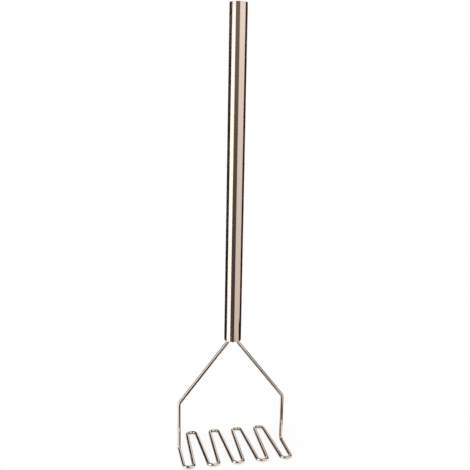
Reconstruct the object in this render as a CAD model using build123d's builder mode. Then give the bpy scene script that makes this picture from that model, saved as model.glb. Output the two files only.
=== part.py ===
from build123d import *
from math import asin, atan2, hypot, tan
import os

# Long-handled potato masher: a tube handle with closed ends and one bent wire.
# Millimetres. +Z runs up the handle, +X across the mashing face and +Y to its far side.
# The origin is the centre of the face's footprint, on the surface that the wire rests on.

# Handle
overall_length = 610.0
handle_length = 450.0
tube_diameter = 23.5
tube_wall = 1.2
handle_setback = 6.5

# End caps
cap_head_thickness = 3.0
cap_edge_radius = 0.4
cap_fit_clearance = 0.05
top_spigot_length = 9.0
top_spigot_wall = 1.6
plug_length = 12.0
plug_lead_chamfer = 0.8

# Wire
wire_diameter = 4.75
wire_hole_clearance = 0.05
stem_spacing = 13.0
shoulder_height = 70.0
neck_bend_radius = 6.0
shoulder_bend_radius = 8.0
foot_bend_radius = 5.3

# Mashing face, along the middle of the wire
near_bend_count = 5
bend_pitch = 34.2
bend_width = 13.5
bend_flat = 0.7
face_depth = 94.3

# Welds where the stems leave the plug
weld_leg = 0.9
weld_clearance = 0.06
weld_crown = 0.2

tube_radius = tube_diameter / 2
tube_bore_radius = tube_radius - tube_wall
spigot_radius = tube_bore_radius - cap_fit_clearance
wire_radius = wire_diameter / 2
wire_hole_radius = wire_radius + wire_hole_clearance
handle_bottom = overall_length - handle_length
stem_reach = stem_spacing / 2
stem_toe = handle_bottom - weld_leg
bend_radius = (bend_width - bend_flat) / 2
tube_bottom = handle_bottom + cap_head_thickness
tube_top = overall_length - cap_head_thickness
plug_top = tube_bottom + plug_length

handle_foot = Plane.XY.move(Location((0, handle_setback, 0)))

os.makedirs("parts", exist_ok=True)


def save(piece, name):
    piece.part.label = name
    export_step(piece.part, f"parts/{name}.step")


def neck_corner_height(leg_x):
    """Where a stem's line meets its arm's.

    The neck bend starts at the weld's toe and aims the arm at the shoulder.
    """
    reach = leg_x - stem_reach - neck_bend_radius
    drop = stem_toe - shoulder_height
    turn = atan2(reach, drop) + asin(neck_bend_radius / hypot(reach, drop))
    return stem_toe - neck_bend_radius * tan(turn / 2)


def wire_route():
    """Corners of the wire's middle line, from the left stem to the right, and the bend radius at each."""
    near_y = -face_depth / 2
    far_y = face_depth / 2
    first_bend_x = -(near_bend_count - 1) * bend_pitch / 2
    leg_x = bend_width / 2 - first_bend_x
    left_half = [
        ((-stem_reach, handle_setback, plug_top), None),
        ((-stem_reach, handle_setback, neck_corner_height(leg_x)), neck_bend_radius),
        ((-leg_x, handle_setback, shoulder_height), shoulder_bend_radius),
        ((-leg_x, handle_setback, wire_radius), foot_bend_radius),
    ]
    face = []
    for index in range(near_bend_count):
        near_x = first_bend_x + index * bend_pitch
        face.append(((near_x - bend_width / 2, near_y, wire_radius), bend_radius))
        face.append(((near_x + bend_width / 2, near_y, wire_radius), bend_radius))
        if index < near_bend_count - 1:
            far_x = near_x + bend_pitch / 2
            face.append(((far_x - bend_width / 2, far_y, wire_radius), bend_radius))
            face.append(((far_x + bend_width / 2, far_y, wire_radius), bend_radius))
    right_half = [((-x, y, z), radius) for (x, y, z), radius in reversed(left_half)]
    corners = left_half + face + right_half
    return [point for point, _ in corners], [radius for _, radius in corners[1:-1]]


# Handle tube: plain and open, between the heads of the two caps
with BuildPart() as handle_tube:
    with BuildSketch(handle_foot.offset(tube_bottom)):
        Circle(tube_radius)
        Circle(tube_bore_radius, mode=Mode.SUBTRACT)
    extrude(amount=tube_top - tube_bottom)
save(handle_tube, "handle_tube")

# Top cap: a head with a softened edge, and a hollow spigot inside the tube
with BuildPart() as top_end_cap:
    with BuildSketch(handle_foot.offset(tube_top)):
        Circle(tube_radius)
    extrude(amount=cap_head_thickness)
    with BuildSketch(handle_foot.offset(tube_top - top_spigot_length)):
        Circle(spigot_radius)
        Circle(spigot_radius - top_spigot_wall, mode=Mode.SUBTRACT)
    extrude(amount=top_spigot_length)
    fillet(top_end_cap.faces().sort_by(Axis.Z)[-1].outer_wire().edges(), radius=cap_edge_radius)
    chamfer(top_end_cap.faces().sort_by(Axis.Z)[0].outer_wire().edges(), length=plug_lead_chamfer)
save(top_end_cap, "top_end_cap")

# Bottom cap: a head with a softened edge, and a solid plug bored for the two stems
with BuildPart() as bottom_end_cap:
    with BuildSketch(handle_foot.offset(handle_bottom)):
        Circle(tube_radius)
    extrude(amount=cap_head_thickness)
    with BuildSketch(handle_foot.offset(tube_bottom)):
        Circle(spigot_radius)
    extrude(amount=plug_length)
    fillet(bottom_end_cap.faces().sort_by(Axis.Z)[0].outer_wire().edges(), radius=cap_edge_radius)
    chamfer(bottom_end_cap.faces().sort_by(Axis.Z)[-1].outer_wire().edges(), length=plug_lead_chamfer)
    with Locations(handle_foot.offset(plug_top)):
        with GridLocations(stem_spacing, 0, 2, 1):
            Hole(wire_hole_radius)
save(bottom_end_cap, "bottom_end_cap")

# Wire: a round section swept along straight runs joined by tangent arcs
route_points, route_radii = wire_route()
with BuildLine() as wire_line:
    FilletPolyline(*route_points, radius=route_radii)
with BuildPart() as masher_wire:
    with BuildSketch(handle_foot.offset(plug_top)) as wire_section:
        with Locations((-stem_reach, 0)):
            Circle(wire_radius)
    sweep(path=wire_line.wire())
save(masher_wire, "masher_wire")

# Welds: a slightly rounded fillet round each stem, under the plug
for side, name in ((-1, "left_wire_weld"), (1, "right_wire_weld")):
    stem_foot = Vector(side * stem_reach, handle_setback, handle_bottom)
    inner = wire_radius + weld_clearance
    outer = inner + weld_leg
    with BuildPart() as weld:
        with BuildSketch(Plane(origin=stem_foot, x_dir=(1, 0, 0), z_dir=(0, -1, 0))):
            with BuildLine():
                Polyline((inner, -weld_leg), (inner, 0), (outer, 0))
                SagittaArc((outer, 0), (inner, -weld_leg), weld_crown)
            make_face()
        revolve(axis=Axis(stem_foot, (0, 0, 1)))
    save(weld, name)

wire_length = wire_line.wire().length
print("wire length", round(wire_length, 1))
section_share = masher_wire.part.volume / (wire_length * wire_section.sketch.area)
print("wire volume share of section times length", round(section_share, 5))
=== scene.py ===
"""Long-handled potato masher: a satin tube handle, two end caps, a bright bent wire and two welds.

The pieces are built round the part's CAD frame. Lengths are in metres, and +Z runs up the handle.
"""

import math
from functools import partial
from typing import NamedTuple

import bmesh
import bpy
from mathutils import Matrix, Vector


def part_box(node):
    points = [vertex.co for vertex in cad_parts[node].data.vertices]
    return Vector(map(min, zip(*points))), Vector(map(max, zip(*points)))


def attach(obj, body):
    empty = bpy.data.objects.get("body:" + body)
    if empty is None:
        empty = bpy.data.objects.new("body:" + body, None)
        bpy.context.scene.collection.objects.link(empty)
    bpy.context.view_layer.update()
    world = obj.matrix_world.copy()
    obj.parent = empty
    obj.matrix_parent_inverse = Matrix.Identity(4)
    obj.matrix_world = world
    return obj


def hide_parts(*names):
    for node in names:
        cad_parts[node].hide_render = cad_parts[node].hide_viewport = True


bl_info = {
    "name": "Potato masher",
    "version": (1, 0, 0),
    "blender": (4, 5, 0),
    "location": "3D View > Sidebar > Masher",
    "description": "Builds a long-handled potato masher and its white studio",
    "category": "Object",
}

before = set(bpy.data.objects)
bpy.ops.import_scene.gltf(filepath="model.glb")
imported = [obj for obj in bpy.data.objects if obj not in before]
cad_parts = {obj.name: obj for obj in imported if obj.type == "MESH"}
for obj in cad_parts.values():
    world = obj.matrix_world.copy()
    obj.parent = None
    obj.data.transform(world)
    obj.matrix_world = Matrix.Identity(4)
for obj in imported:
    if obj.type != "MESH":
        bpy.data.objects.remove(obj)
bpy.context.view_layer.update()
MM = 0.001
BODY = "root"
CAP_NODES = ("top_end_cap", "bottom_end_cap")
WELD_NODES = ("left_wire_weld", "right_wire_weld")


def hex_colour(code):
    """An sRGB hex code as the linear colour that Blender works in."""
    shares = [int(code[i:i + 2], 16) / 255 for i in (0, 2, 4)]
    return tuple(s / 12.92 if s <= 0.04045 else ((s + 0.055) / 1.055) ** 2.4 for s in shares)


def node_size(name):
    low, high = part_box(name)
    return high - low


TUBE_LOW, TUBE_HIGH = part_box("handle_tube")
WIRE_LOW, WIRE_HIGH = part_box("masher_wire")
PLUG_LOW, PLUG_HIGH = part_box("bottom_end_cap")
HANDLE_AXIS = (TUBE_LOW + TUBE_HIGH) / 2
WIRE_DIAMETER = 4.75 * MM

# Edges sharper than this stay sharp on a lathed piece
SHARP_ANGLE = math.radians(40)

# Most of a noise texture's values lie between these two
NOISE_LOW = 0.3
NOISE_HIGH = 0.7


def length(name, value, description):
    """A size property in metres, shown in the scene's own unit."""
    return bpy.props.FloatProperty(
        name=name, description=description, default=value, min=0, precision=5,
        subtype="DISTANCE", unit="LENGTH")


def angle(name, value, description):
    """An angle property in radians, shown in degrees."""
    return bpy.props.FloatProperty(
        name=name, description=description, default=value, subtype="ANGLE", unit="ROTATION")


def count(name, value, least, description):
    return bpy.props.IntProperty(name=name, description=description, default=value, min=least)


def colour(name, code, description):
    return bpy.props.FloatVectorProperty(
        name=name, description=description, default=hex_colour(code), min=0, max=1, size=3,
        subtype="COLOR")


def share(name, value, description):
    return bpy.props.FloatProperty(
        name=name, description=description, default=value, min=0, max=1, precision=3,
        subtype="FACTOR")


class HandleSettings(bpy.types.PropertyGroup):
    """Sizes and finish of the tube and its caps."""

    wall: length("Wall", 1.2 * MM, "Thickness of the tube's wall")
    rim_round: length("Rim round", 0.25 * MM, "Round on the tube's outer edges, next to the caps")
    rim_steps: count("Rim steps", 4, 1, "Steps along that round")
    facets: count("Facets", 192, 12, "Faces round the tube")
    steel: colour("Steel", "DCCDC1", "Warm stainless steel under studio light")
    roughness: share("Roughness", 0.15, "How soft the satin reflections are")
    line_spacing: length("Line spacing", 0.45 * MM, "Distance between the grinding lines that show")
    line_length: length("Line length", 27 * MM, "Length of a grinding line, round the tube")
    line_depth: length("Line depth", 0.001 * MM, "Depth of a grinding line")
    ring_spacing: length("Ring spacing", 0.3 * MM, "Distance between the turning rings that show")
    ring_depth: length("Ring depth", 0.002 * MM, "Depth of a turning ring")


class WireSettings(bpy.types.PropertyGroup):
    """Sizes of the bent wire, along its middle line, and its finish."""

    diameter: length("Diameter", WIRE_DIAMETER, "Thickness of the wire")
    stem_spacing: length("Stem spacing", 13 * MM, "Distance between the stems in the bottom cap")
    shoulder_height: length("Shoulder height", 70 * MM, "Height where each arm turns into its leg")
    bend_pitch: length("Bend pitch", 34.2 * MM, "Distance from one near bend to the next")
    bend_width: length("Bend width", 13.5 * MM, "Distance between the two runs that a bend joins")
    bend_flat: length("Bend flat", 0.7 * MM, "Straight stretch in the middle of a bend")
    near_bends: count("Near bends", 5, 1, "Bends on the near side")
    neck_radius: length("Neck radius", 6 * MM, "Bend radius where a stem turns out into its arm")
    shoulder_radius: length("Shoulder radius", 8 * MM, "Bend radius between arm and leg")
    foot_radius: length("Foot radius", 5.3 * MM, "Bend radius between leg and mashing face")
    sides: count("Sides", 32, 8, "Faces round the wire")
    bend_steps: count("Bend steps", 18, 4, "Steps along each bend")
    plate: colour("Plate", "E3D8CD", "Bright nickel-chrome plate")
    roughness: share("Roughness", 0.07, "How soft the polished reflections are")
    line_width: length("Line width", 0.2 * MM, "Width of a faint drawing line under the plate")
    line_length: length("Line length", 12 * MM, "Length of a drawing line")
    line_depth: length("Line depth", 0.0008 * MM, "Depth of a drawing line")
    worn_height: length("Worn height", 0.22 * MM, "Height over the pan of the fully rubbed part")
    wear_height: length("Wear height", 1.1 * MM, "Height over the pan where the rubbing ends")
    wear: share("Wear", 0.16, "Roughness that rubbing adds under the face")


class WeldSettings(bpy.types.PropertyGroup):
    """Sizes and finish of the weld bead round each stem."""

    leg: length("Leg", 0.9 * MM, "Height and width of the bead")
    sunk: length("Sunk", 0.12 * MM, "How far the bead is melted into the wire and the cap")
    crown: length("Crown", 0.15 * MM, "How far the bead's face bulges")
    face_steps: count("Face steps", 12, 4, "Steps across the bead's face")
    ripples: count("Ripples", 17, 1, "Ripples round the bead")
    ripple_steps: count("Ripple steps", 12, 4, "Steps along each ripple")
    ripple_height: length("Ripple height", 0.09 * MM, "Height of one ripple")
    ripple_lag: angle("Ripple lag", 0.9, "How far the middle of a ripple lags behind its ends")
    steel: colour("Steel", "CBBBAA", "Weld metal, a little duller and yellower than the tube")
    tint: colour("Heat tint", "B79A6C", "Straw colour that the heat leaves in patches")
    tint_strength: share("Tint strength", 0.6, "How much of the tint the darkest patch has")
    roughness: share("Roughness", 0.3, "How soft the bead's reflections are")
    patch: length("Patch", 0.7 * MM, "Size of the patches of tint and of duller metal")
    patch_depth: length("Patch depth", 0.01 * MM, "Relief of the patches")


class StageSettings(bpy.types.PropertyGroup):
    """Camera, floor and light."""

    azimuth: angle("Azimuth", math.radians(-12.7), "Turn of the camera about the handle")
    elevation: angle("Elevation", math.radians(10.93), "Height angle of the camera")
    roll: angle("Roll", math.radians(1.06), "Turn of the camera about its own view")
    distance: length("Distance", 882.64 * MM, "From the camera to its target")
    target_side: length("Target side", 0.71 * MM, "How far right of the handle the camera aims")
    target_height: length("Target height", 308.9 * MM, "Height at which the camera aims")
    lens: bpy.props.FloatProperty(
        name="Lens", description="Focal length in millimetres", default=49.79, min=1)
    fill: bpy.props.FloatProperty(
        name="Fill", description="Strength of the white surround as a light", default=0.6, min=0)
    floor_width: length("Floor width", 6, "Width of the square floor")
    floor_white: share("Floor white", 0.75, "Share of plain white in the floor near the masher")
    white_start: length("White start", 0.15, "Radius where that share starts to grow")
    white_full: length("White full", 0.5, "Radius from which the floor is all plain white")
    lamp_width: length("Lamp width", 1.2, "Width of the overhead soft box")
    lamp_power: bpy.props.FloatProperty(
        name="Lamp power", description="Power of the overhead soft box, in watts", default=15, min=0)


# Middle of the overhead soft box, in metres
LAMP_PLACE = (-0.3, -0.1, 1.6)

# Width of the camera's sensor, in millimetres
SENSOR_WIDTH = 36

SETTINGS = {
    "masher_handle": HandleSettings,
    "masher_wire": WireSettings,
    "masher_weld": WeldSettings,
    "masher_stage": StageSettings,
}


def add_node(tree, kind, inputs=(), **settings):
    """Adds a node with its settings. An input gets a value, or a link where it is given a socket."""
    node = tree.nodes.new(kind)
    for name, value in settings.items():
        setattr(node, name, value)
    for socket, value in dict(inputs).items():
        if isinstance(value, bpy.types.NodeSocket):
            tree.links.new(value, node.inputs[socket])
        else:
            node.inputs[socket].default_value = value
    return node


def new_material(name, base, roughness, **inputs):
    """A metal with its constant values on the shader's own sockets.

    Returns the material, its node tree and its shader.
    """
    material = bpy.data.materials.new(name)
    material.use_nodes = True
    tree = material.node_tree
    shader = tree.nodes["Principled BSDF"]
    shader.inputs["Base Color"].default_value = (*base, 1)
    shader.inputs["Metallic"].default_value = 1
    shader.inputs["Roughness"].default_value = roughness
    for name, value in inputs.items():
        shader.inputs[name.replace("_", " ").title()].default_value = value
    return material, tree, shader


def piece_object(name, mesh):
    obj = bpy.data.objects.new(name, mesh)
    bpy.context.scene.collection.objects.link(obj)
    return obj


def dress(obj, material, slot, *nodes):
    """Gives a finished piece its material and body, and hides the CAD nodes it stands for."""
    obj.data.materials.clear()
    obj.data.materials.append(material)
    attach(obj, BODY)
    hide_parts(*nodes)


def evenly_shaded(obj):
    """Lets long flat faces set the shading next to small rounds, and leaves a plain mesh."""
    even = obj.modifiers.new("Even shading", "WEIGHTED_NORMAL")
    even.keep_sharp = True
    depsgraph = bpy.context.evaluated_depsgraph_get()
    mesh = bpy.data.meshes.new_from_object(obj.evaluated_get(depsgraph), depsgraph=depsgraph)
    obj.modifiers.clear()
    obj.data = mesh
    mesh.name = obj.name
    return obj


def lathe(name, centre, facets, section):
    """A closed ring round an upright axis. section(turn) lists its corners as (radius, height)."""
    bm = bmesh.new()
    rings = []
    for k in range(facets):
        turn = 2 * math.pi * k / facets
        out = Vector((math.cos(turn), math.sin(turn), 0))
        corners = [Vector((centre.x, centre.y, z)) + r * out for r, z in section(turn)]
        rings.append([bm.verts.new(corner) for corner in corners])
    for k, ring in enumerate(rings):
        before = rings[k - 1]
        for i in range(len(ring)):
            bm.faces.new((before[i - 1], ring[i - 1], ring[i], before[i])).smooth = True
    bmesh.ops.recalc_face_normals(bm, faces=bm.faces)
    mesh = bpy.data.meshes.new(name)
    bm.to_mesh(mesh)
    bm.free()
    mesh.set_sharp_from_angle(angle=SHARP_ANGLE)
    return piece_object(name, mesh)


def scaled(tree, place, *sizes):
    """A place counted in pattern sizes, one for each axis."""
    scale = [1 / size for size in sizes]
    return add_node(tree, "ShaderNodeMapping", {"Vector": place, "Scale": scale}).outputs[0]


def fine_lines(tree, shader, place, roughness, spread, depth):
    """Lines made by noise, at a place counted in line widths.

    The roughness varies by the share spread, and depth is the height of the relief in metres. Returns
    the roughness.
    """
    noise = add_node(tree, "ShaderNodeTexNoise", {"Vector": place, "Scale": 1, "Detail": 3})
    lines = noise.outputs["Fac"]
    rough = add_node(tree, "ShaderNodeMapRange", {
        "Value": lines, "From Min": NOISE_LOW, "From Max": NOISE_HIGH,
        "To Min": roughness * (1 - spread), "To Max": roughness * (1 + spread)}).outputs[0]
    relief = add_node(tree, "ShaderNodeBump", {"Height": lines, "Strength": 1, "Distance": depth})
    tree.links.new(rough, shader.inputs["Roughness"])
    tree.links.new(relief.outputs[0], shader.inputs["Normal"])
    return rough


def lathed_steel(name, s):
    """Stainless steel with fine lines round the handle.

    Its reflections are crisp along the lines and soft across them. Returns the material, its node
    tree, its shader and the object's own coordinates.
    """
    material, tree, shader = new_material(
        name, s.steel, s.roughness, anisotropic=0.6, anisotropic_rotation=0.25)
    round_axis = add_node(tree, "ShaderNodeTangent", direction_type="RADIAL", axis="Z")
    tree.links.new(round_axis.outputs[0], shader.inputs["Tangent"])
    return material, tree, shader, add_node(tree, "ShaderNodeTexCoord").outputs["Object"]


def satin_tube_steel(s):
    """Stainless tube, satin from a centreless belt, with lines that run round it."""
    material, tree, shader, place = lathed_steel("satin_stainless_tube", s)
    # A real belt line is about 0.05 mm wide. These are drawn wider, so that they still show.
    lines_at = scaled(tree, place, s.line_length, s.line_length, s.line_spacing)
    fine_lines(tree, shader, lines_at, s.roughness, spread=0.18, depth=s.line_depth)
    return material


def turned_cap_steel(s):
    """Stainless cap, turned and faced on a lathe, with fine rings on its face and its edge."""
    material, tree, shader, place = lathed_steel("turned_stainless_cap", s)
    from_axis = add_node(
        tree, "ShaderNodeVectorMath", {0: place, 1: HANDLE_AXIS}, operation="SUBTRACT").outputs[0]
    parts = add_node(tree, "ShaderNodeSeparateXYZ", {0: from_axis}).outputs
    level = add_node(tree, "ShaderNodeCombineXYZ", {"X": parts["X"], "Y": parts["Y"]}).outputs[0]
    radius = add_node(tree, "ShaderNodeVectorMath", {0: level}, operation="LENGTH").outputs["Value"]
    rings = add_node(tree, "ShaderNodeCombineXYZ", {"X": radius, "Y": parts["Z"]}).outputs[0]
    rings_at = scaled(tree, rings, s.ring_spacing, s.ring_spacing, s.ring_spacing)
    fine_lines(tree, shader, rings_at, s.roughness, spread=0.25, depth=s.ring_depth)
    return material


class MASHER_OT_handle_tube(bpy.types.Operator):
    """Make the satin handle tube"""

    bl_idname = "masher.handle_tube"
    bl_label = "Handle tube"

    def execute(self, context):
        s = context.scene.masher_handle
        outer = node_size("handle_tube").x / 2
        inner = outer - s.wall
        shoulder = outer - s.rim_round
        turns = [math.pi / 2 * step / s.rim_steps for step in range(s.rim_steps + 1)]
        low, high = [], []
        for turn in turns:
            rise = s.rim_round * (1 - math.cos(turn))
            low.append((shoulder + s.rim_round * math.sin(turn), TUBE_LOW.z + rise))
            fall = s.rim_round * (1 - math.sin(turn))
            high.append((shoulder + s.rim_round * math.cos(turn), TUBE_HIGH.z - fall))
        section = [(inner, TUBE_LOW.z), *low, *high, (inner, TUBE_HIGH.z)]
        tube = lathe("handle_tube_satin", HANDLE_AXIS, s.facets, lambda turn: section)
        dress(evenly_shaded(tube), satin_tube_steel(s), "brushed_handle", "handle_tube")
        return {"FINISHED"}


def wire_corners(s):
    """Corners of the wire's middle line and their bend radii, from the left stem to the right."""
    reach = s.stem_spacing / 2
    setback = HANDLE_AXIS.y
    bottom = WIRE_LOW.z + s.diameter / 2
    near = WIRE_LOW.y + s.diameter / 2
    far = WIRE_HIGH.y - s.diameter / 2
    first = -(s.near_bends - 1) * s.bend_pitch / 2
    leg = s.bend_width / 2 - first
    toe = PLUG_LOW.z - bpy.context.scene.masher_weld.leg
    aside = leg - reach - s.neck_radius
    drop = toe - s.shoulder_height
    turn = math.atan2(aside, drop) + math.asin(s.neck_radius / math.hypot(aside, drop))
    neck = toe - s.neck_radius * math.tan(turn / 2)
    left = [
        (-reach, setback, PLUG_HIGH.z, 0),
        (-reach, setback, neck, s.neck_radius),
        (-leg, setback, s.shoulder_height, s.shoulder_radius),
        (-leg, setback, bottom, s.foot_radius),
    ]
    radius = (s.bend_width - s.bend_flat) / 2
    face = []
    for k in range(2 * s.near_bends - 1):
        x = first + k * s.bend_pitch / 2
        y = far if k % 2 else near
        for side in (-1, 1):
            face.append((x + side * s.bend_width / 2, y, bottom, radius))
    return left + face + [(-x, y, z, r) for x, y, z, r in reversed(left)]


def wire_tree():
    """Nodes that round a line's corners by their own radius and sweep a wire along it."""
    tree = bpy.data.node_groups.new("Bent wire", "GeometryNodeTree")
    inputs = {
        "Geometry": "NodeSocketGeometry",
        "Diameter": "NodeSocketFloat",
        "Sides": "NodeSocketInt",
        "Bend Steps": "NodeSocketInt",
        "Material": "NodeSocketMaterial",
    }
    for name, kind in inputs.items():
        tree.interface.new_socket(name, in_out="INPUT", socket_type=kind)
    tree.interface.new_socket("Geometry", in_out="OUTPUT", socket_type="NodeSocketGeometry")
    given = add_node(tree, "NodeGroupInput").outputs
    line = add_node(tree, "GeometryNodeMeshToCurve", {"Mesh": given["Geometry"]})
    bend = add_node(
        tree, "GeometryNodeInputNamedAttribute", {"Name": "bend_radius"}, data_type="FLOAT")
    path = add_node(tree, "GeometryNodeFilletCurve", {
        "Curve": line.outputs[0], "Radius": bend.outputs["Attribute"],
        "Count": given["Bend Steps"]}, mode="POLY")
    half = add_node(tree, "ShaderNodeMath", {0: given["Diameter"], 1: 0.5}, operation="MULTIPLY")
    section = add_node(tree, "GeometryNodeCurvePrimitiveCircle", {
        "Resolution": given["Sides"], "Radius": half.outputs[0]})
    # The finish follows the wire by its length so far and by the place in its round section.
    along = add_node(tree, "GeometryNodeStoreNamedAttribute", {
        "Geometry": path.outputs[0], "Name": "along",
        "Value": add_node(tree, "GeometryNodeSplineParameter").outputs["Length"]},
        data_type="FLOAT")
    across = add_node(tree, "GeometryNodeStoreNamedAttribute", {
        "Geometry": section.outputs[0], "Name": "across",
        "Value": add_node(tree, "GeometryNodeInputPosition").outputs[0]},
        data_type="FLOAT_VECTOR")
    swept = add_node(tree, "GeometryNodeCurveToMesh", {
        "Curve": along.outputs[0], "Profile Curve": across.outputs[0], "Fill Caps": True})
    plain = add_node(tree, "GeometryNodeRealizeInstances", {"Geometry": swept.outputs[0]})
    dressed = add_node(tree, "GeometryNodeSetMaterial", {
        "Geometry": plain.outputs[0], "Material": given["Material"]})
    add_node(tree, "NodeGroupOutput", {"Geometry": dressed.outputs[0]})
    return tree


def made_by_nodes(obj, tree, values):
    """Runs a node tree on an object with the given inputs, and leaves a plain mesh."""
    modifier = obj.modifiers.new(tree.name, "NODES")
    modifier.node_group = tree
    for item in tree.interface.items_tree:
        if item.in_out == "INPUT" and item.name in values:
            modifier[item.identifier] = values[item.name]
    evenly_shaded(obj)


def bright_plate(s):
    """Nickel-chrome plate over drawn wire, with faint lines along it and a rubbed underside."""
    material, tree, shader = new_material("bright_plated_wire", s.plate, s.roughness)
    across = add_node(tree, "ShaderNodeAttribute", attribute_name="across").outputs["Vector"]
    along = add_node(tree, "ShaderNodeAttribute", attribute_name="along").outputs["Fac"]
    parts = add_node(tree, "ShaderNodeSeparateXYZ", {0: across}).outputs
    place = add_node(tree, "ShaderNodeCombineXYZ", {
        "X": parts["X"], "Y": parts["Y"], "Z": along}).outputs[0]
    # A real drawing line is a few hundredths of a millimetre wide. These are drawn wider, to show.
    lines_at = scaled(tree, place, s.line_width, s.line_width, s.line_length)
    lines = fine_lines(tree, shader, lines_at, s.roughness, spread=0.3, depth=s.line_depth)
    height = add_node(tree, "ShaderNodeSeparateXYZ", {
        0: add_node(tree, "ShaderNodeTexCoord").outputs["Object"]}).outputs["Z"]
    rubbed = add_node(tree, "ShaderNodeMapRange", {
        "Value": height, "From Min": s.worn_height, "From Max": s.wear_height,
        "To Min": s.wear, "To Max": 0})
    worn = add_node(tree, "ShaderNodeMath", {0: lines, 1: rubbed.outputs[0]}, operation="ADD")
    tree.links.new(worn.outputs[0], shader.inputs["Roughness"])
    return material


class MASHER_OT_wire(bpy.types.Operator):
    """Make the one bent wire: stems, arms, legs and mashing face"""

    bl_idname = "masher.wire"
    bl_label = "Bent wire"

    def execute(self, context):
        s = context.scene.masher_wire
        corners = wire_corners(s)
        edges = [(i, i + 1) for i in range(len(corners) - 1)]
        mesh = bpy.data.meshes.new("wire_line")
        mesh.from_pydata([corner[:3] for corner in corners], edges, [])
        radii = mesh.attributes.new("bend_radius", "FLOAT", "POINT")
        radii.data.foreach_set("value", [corner[3] for corner in corners])
        wire = piece_object("masher_wire_bright", mesh)
        material = bright_plate(s)
        made_by_nodes(wire, wire_tree(), {
            "Diameter": s.diameter, "Sides": s.sides, "Bend Steps": s.bend_steps,
            "Material": material})
        dress(wire, material, "polished_wire", "masher_wire")
        return {"FINISHED"}


class MASHER_OT_end_caps(bpy.types.Operator):
    """Finish the two turned end caps, whose shapes are the frame's own"""

    bl_idname = "masher.end_caps"
    bl_label = "End caps"

    def execute(self, context):
        material = turned_cap_steel(context.scene.masher_handle)
        for name in CAP_NODES:
            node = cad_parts[name]
            node.data.materials.clear()
            node.data.materials.append(material)
        return {"FINISHED"}


def weld_steel(s):
    """Weld metal as it cooled: duller than the wire, with straw-coloured patches from the heat."""
    material, tree, shader = new_material("weld_bead_steel", s.steel, s.roughness)
    place = add_node(tree, "ShaderNodeTexCoord").outputs["Object"]
    patches_at = scaled(tree, place, s.patch, s.patch, s.patch)
    spread = 0.3
    patches = fine_lines(tree, shader, patches_at, s.roughness, spread, s.patch_depth)
    tinted = add_node(tree, "ShaderNodeMapRange", {
        "Value": patches, "From Min": s.roughness, "From Max": (1 + spread) * s.roughness,
        "To Max": s.tint_strength})
    # Inputs 6 and 7 and output 2 of a mix node are its colours.
    blend = add_node(tree, "ShaderNodeMix", {
        0: tinted.outputs[0], 6: (*s.steel, 1), 7: (*s.tint, 1)}, data_type="RGBA")
    tree.links.new(blend.outputs[2], shader.inputs["Base Color"])
    return material


def bead_section(s, wire_radius, reach, face, turn):
    """Corners of a weld bead's section at a turn about its stem.

    Two sides are sunk, and a face runs from cap to wire. It bulges in crescents, one for each ripple.
    """
    inner = wire_radius - s.sunk
    top = face + s.sunk
    corners = [(inner, face - s.leg), (inner, top), (reach, top)]
    for step in range(s.face_steps + 1):
        t = step / s.face_steps
        arch = 4 * t * (1 - t)
        ripple = abs(math.sin(s.ripples * turn / 2 + s.ripple_lag * arch))
        bulge = arch * (s.crown + ripple * s.ripple_height) / math.sqrt(2)
        corners.append((reach + t * (wire_radius - reach) + bulge, face - t * s.leg - bulge))
    return corners


class MASHER_OT_welds(bpy.types.Operator):
    """Make the rippled weld bead round each stem, melted a little into the wire and the cap"""

    bl_idname = "masher.welds"
    bl_label = "Welds"

    def execute(self, context):
        s = context.scene.masher_weld
        wire_radius = context.scene.masher_wire.diameter / 2
        face = PLUG_LOW.z
        material = weld_steel(s)
        for name in WELD_NODES:
            low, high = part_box(name)
            reach = (high.x - low.x) / 2
            section = partial(bead_section, s, wire_radius, reach, face)
            bead = lathe(f"{name}_bead", (low + high) / 2, s.ripple_steps * s.ripples, section)
            dress(bead, material, "weld_steel", name)
        return {"FINISHED"}


def direction(azimuth, elevation):
    """Unit vector towards an azimuth about the handle. 0 is the near side, 90 degrees the right."""
    level = math.cos(elevation)
    return Vector((level * math.sin(azimuth), -level * math.cos(azimuth), math.sin(elevation)))


def seen_plainly(tree):
    """1 for camera, glossy and transmission rays, which show the white background, or else 0."""
    rays = add_node(tree, "ShaderNodeLightPath").outputs
    seen = rays["Is Camera Ray"]
    for kind in ("Is Glossy Ray", "Is Transmission Ray"):
        either = add_node(tree, "ShaderNodeMath", {0: seen, 1: rays[kind]}, operation="MAXIMUM")
        seen = either.outputs[0]
    return seen


class Card(NamedTuple):
    """A studio sheet curved round the handle, which only reflections see.

    It runs from one azimuth to another, in degrees, and up through its rows. Each row is a ring with
    the strength of the glow there.
    """

    name: str
    start: float
    end: float
    colour: str
    rows: tuple


# Flat sheets lie this far above the floor
FLOOR_GAP = 0.4 * MM

# Degrees between the corners along a card's edge
CARD_STEP = 5

# Rings round the handle that the cards span, as radius and height in metres
FOOT = (0.36, 0)
MIDDLE = (3, 1.08)
OVER_MIDDLE = (3, 1.09)
TOP = (1.2, 2.6)
CROWN = (0.01, 2.8)
BACK_TOP = (0.36, 0.9)

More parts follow.
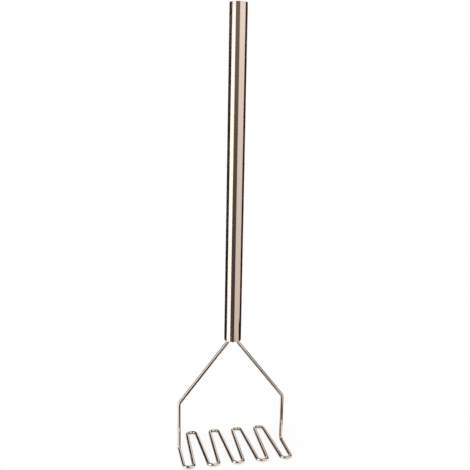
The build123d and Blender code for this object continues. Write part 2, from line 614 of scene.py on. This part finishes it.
# A card is bright and a flag is dark, as in a photo studio
CARDS = (
    Card("key_card", -98, -48, "FFFFFF", ((FOOT, 1.65), (MIDDLE, 1.65))),
    Card("upper_key_card", -88, -48, "FFFFFF", ((OVER_MIDDLE, 1.65), (TOP, 1.65))),
    Card("front_flag", -47, 7, "B8A79F", ((FOOT, 0.14), (MIDDLE, 0.52), (TOP, 0.2))),
    Card("right_card", 8, 83, "FFF9F5", ((FOOT, 0.82), (MIDDLE, 1.2), (TOP, 0.8))),
    Card("right_flag", 85, 130, "805850", ((FOOT, 0.12), (MIDDLE, 0.14), (TOP, 0.3))),
    Card("right_back_flag", 130, 148, "805850", (((0.36, 0.02), 0.12), (BACK_TOP, 0.12))),
    Card("back_flag", 178, 232, "805850", (((0.36, 0.001), 0.06), (BACK_TOP, 0.12))),
    Card("left_flag", -128, -99, "805850", ((FOOT, 0.08), (MIDDLE, 0.14))),
    Card("upper_left_flag", -128, -89, "FFFAF5", ((OVER_MIDDLE, 0.12), (TOP, 0.12))),
    Card("right_ceiling", -20, 160, "FFF6F0", ((TOP, 0.9), (CROWN, 0.9))),
    Card("left_ceiling", 160, 340, "C0B0A8", ((TOP, 0.15), (CROWN, 0.15))),
    Card("right_floor_flag", 60, 150, "C0B0A8", (((0.12, FLOOR_GAP), 0.5), ((0.36, FLOOR_GAP), 0.5))),
)


class Sheet(NamedTuple):
    """A flat sheet by its four corners in metres, which only reflections see."""

    name: str
    corners: tuple
    colour: str
    strength: float


def just_above_floor(left, right, near, far):
    """Corners of a level sheet with these edges."""
    edges = ((left, near), (right, near), (right, far), (left, far))
    return tuple((x, y, FLOOR_GAP) for x, y in edges)


SHEETS = (
    # Painted shade: a dark sheet under the face, which reflections show as the floor's shade between
    # the runs
    Sheet("painted_face_shade", just_above_floor(
        left=WIRE_LOW.x + WIRE_DIAMETER, right=WIRE_HIGH.x - WIRE_DIAMETER,
        near=WIRE_LOW.y + WIRE_DIAMETER, far=WIRE_HIGH.y - WIRE_DIAMETER), "B09484", 0.58),
    # Painted reflection: dark sheets on the floor in front, which stand in for the dark front of the
    # room as the arms and the legs show it
    Sheet("painted_front_reflection", just_above_floor(
        left=-0.105, right=0.09, near=-0.36, far=-0.058), "A08C84", 0.02),
    Sheet("painted_front_right_reflection", just_above_floor(
        left=0.09, right=0.2, near=-0.36, far=-0.16), "A08C84", 0.02),
    Sheet("painted_near_right_reflection", just_above_floor(
        left=0.09, right=0.2, near=-0.1, far=-0.058), "A08C84", 0.4),
    # Painted reflection: an upright dark sheet beside the right arm, which puts the dark line along
    # its upper side
    Sheet("painted_right_arm_line", (
        (0.1, -0.035, 0.16), (0.1, 0.03, 0.16), (0.1, 0.03, 0.09), (0.1, -0.01, 0.09)),
        "805850", 0.06),
)


def add_sheet(name, code, corners, faces, levels):
    """A sheet that glows by a level at each corner. Only reflections see it."""
    mesh = bpy.data.meshes.new(name)
    mesh.from_pydata(corners, [], faces)
    glow = mesh.attributes.new("glow", "FLOAT", "POINT")
    glow.data.foreach_set("value", levels)
    material = bpy.data.materials.new(name)
    material.use_nodes = True
    tree = material.node_tree
    tree.nodes.clear()
    level = add_node(tree, "ShaderNodeAttribute", attribute_name="glow").outputs["Fac"]
    light = add_node(tree, "ShaderNodeEmission", {"Color": (*hex_colour(code), 1), "Strength": level})
    add_node(tree, "ShaderNodeOutputMaterial", {"Surface": light.outputs[0]})
    mesh.materials.append(material)
    sheet = piece_object(name, mesh)
    for rays in ("camera", "diffuse", "transmission", "volume_scatter", "shadow"):
        setattr(sheet, f"visible_{rays}", False)


def add_card(card):
    steps = math.ceil((card.end - card.start) / CARD_STEP)
    rows = len(card.rows)
    corners, faces = [], []
    for k in range(steps + 1):
        out = direction(math.radians(card.start + (card.end - card.start) * k / steps), 0)
        for (radius, height), _ in card.rows:
            corners.append(Vector((HANDLE_AXIS.x, HANDLE_AXIS.y, height)) + out * radius)
    for k in range(steps):
        for i in range(k * rows, (k + 1) * rows - 1):
            faces.append((i, i + rows, i + rows + 1, i + 1))
    levels = [strength for _, strength in card.rows] * (steps + 1)
    add_sheet(card.name, card.colour, corners, faces, levels)


class MASHER_OT_stage(bpy.types.Operator):
    """Set the white floor, the soft lights, the cards and the camera"""

    bl_idname = "masher.stage"
    bl_label = "Stage"

    def execute(self, context):
        s = context.scene.masher_stage
        self.floor(s)
        self.surround(context, s)
        for card in CARDS:
            add_card(card)
        for sheet in SHEETS:
            levels = [sheet.strength] * len(sheet.corners)
            add_sheet(sheet.name, sheet.colour, sheet.corners, [(0, 1, 2, 3)], levels)
        self.lamp(s)
        self.camera(context, s)
        context.scene.view_settings.view_transform = "Standard"
        return {"FINISHED"}

    def floor(self, s):
        half = s.floor_width / 2
        corners = [(-half, -half, 0), (half, -half, 0), (half, half, 0), (-half, half, 0)]
        mesh = bpy.data.meshes.new("floor")
        mesh.from_pydata(corners, [], [(0, 1, 2, 3)])
        # Matt white background paper, which fades into the plain white surround
        material = bpy.data.materials.new("white_paper_floor")
        material.use_nodes = True
        tree = material.node_tree
        tree.nodes.clear()
        place = add_node(tree, "ShaderNodeTexCoord").outputs["Object"]
        out = add_node(tree, "ShaderNodeVectorMath", {0: place}, operation="LENGTH").outputs["Value"]
        far = add_node(tree, "ShaderNodeMapRange", {
            "Value": out, "From Min": s.white_start, "From Max": s.white_full,
            "To Min": s.floor_white, "To Max": 1}, interpolation_type="SMOOTHSTEP").outputs[0]
        glow_share = add_node(
            tree, "ShaderNodeMath", {0: far, 1: seen_plainly(tree)}, operation="MULTIPLY").outputs[0]
        paper = add_node(tree, "ShaderNodeBsdfDiffuse", {"Color": (*hex_colour("FAFAFA"), 1)})
        white = add_node(tree, "ShaderNodeEmission", {"Strength": 1})
        mixed = add_node(tree, "ShaderNodeMixShader", {
            0: glow_share, 1: paper.outputs[0], 2: white.outputs[0]})
        add_node(tree, "ShaderNodeOutputMaterial", {"Surface": mixed.outputs[0]})
        mesh.materials.append(material)
        piece_object("floor", mesh)

    def surround(self, context, s):
        world = bpy.data.worlds.new("white_surround")
        context.scene.world = world
        world.use_nodes = True
        tree = world.node_tree
        tree.nodes.clear()
        level = add_node(tree, "ShaderNodeMapRange", {
            "Value": seen_plainly(tree), "To Min": s.fill, "To Max": 1})
        sky = add_node(tree, "ShaderNodeBackground", {
            "Color": (1, 1, 1, 1), "Strength": level.outputs[0]})
        add_node(tree, "ShaderNodeOutputWorld", {"Surface": sky.outputs[0]})

    def lamp(self, s):
        data = bpy.data.lights.new("overhead_soft_box", "AREA")
        data.shape = "SQUARE"
        data.size = s.lamp_width
        data.energy = s.lamp_power
        lamp = piece_object("overhead_soft_box", data)
        lamp.location = LAMP_PLACE
        lamp.rotation_euler = (-lamp.location).to_track_quat("-Z", "Y").to_euler()
        lamp.visible_glossy = False

    def camera(self, context, s):
        data = bpy.data.cameras.new("camera")
        data.sensor_width = SENSOR_WIDTH
        data.lens = s.lens
        camera = piece_object("camera", data)
        back = direction(s.azimuth, s.elevation)
        target = Vector((HANDLE_AXIS.x + s.target_side, HANDLE_AXIS.y, s.target_height))
        right = Vector((0, 0, 1)).cross(back).normalized()
        up = back.cross(right)
        turned_right = math.cos(s.roll) * right + math.sin(s.roll) * up
        turned_up = math.cos(s.roll) * up - math.sin(s.roll) * right
        turn = Matrix((turned_right, turned_up, back)).transposed().to_4x4()
        camera.matrix_world = Matrix.Translation(target + back * s.distance) @ turn
        context.scene.camera = camera


OPERATORS = (
    MASHER_OT_handle_tube, MASHER_OT_end_caps, MASHER_OT_wire, MASHER_OT_welds, MASHER_OT_stage,
)


class MASHER_PT_panel(bpy.types.Panel):
    """Lists the masher's sizes and the operators that make it"""

    bl_idname = "MASHER_PT_panel"
    bl_label = "Potato masher"
    bl_space_type = "VIEW_3D"
    bl_region_type = "UI"
    bl_category = "Masher"

    def draw(self, context):
        for operator in OPERATORS:
            self.layout.operator(operator.bl_idname)
        for holder, group in SETTINGS.items():
            box = self.layout.box()
            for name in group.__annotations__:
                box.prop(getattr(context.scene, holder), name)


CLASSES = (*SETTINGS.values(), *OPERATORS, MASHER_PT_panel)


def register():
    for cls in CLASSES:
        bpy.utils.register_class(cls)
    for holder, group in SETTINGS.items():
        setattr(bpy.types.Scene, holder, bpy.props.PointerProperty(type=group))


def unregister():
    for holder in SETTINGS:
        delattr(bpy.types.Scene, holder)
    for cls in reversed(CLASSES):
        bpy.utils.unregister_class(cls)


def main():
    """Builds everything in order."""
    register()
    for operator in OPERATORS:
        group, name = operator.bl_idname.split(".")
        getattr(getattr(bpy.ops, group), name)()


if __name__ == "__main__":
    main()
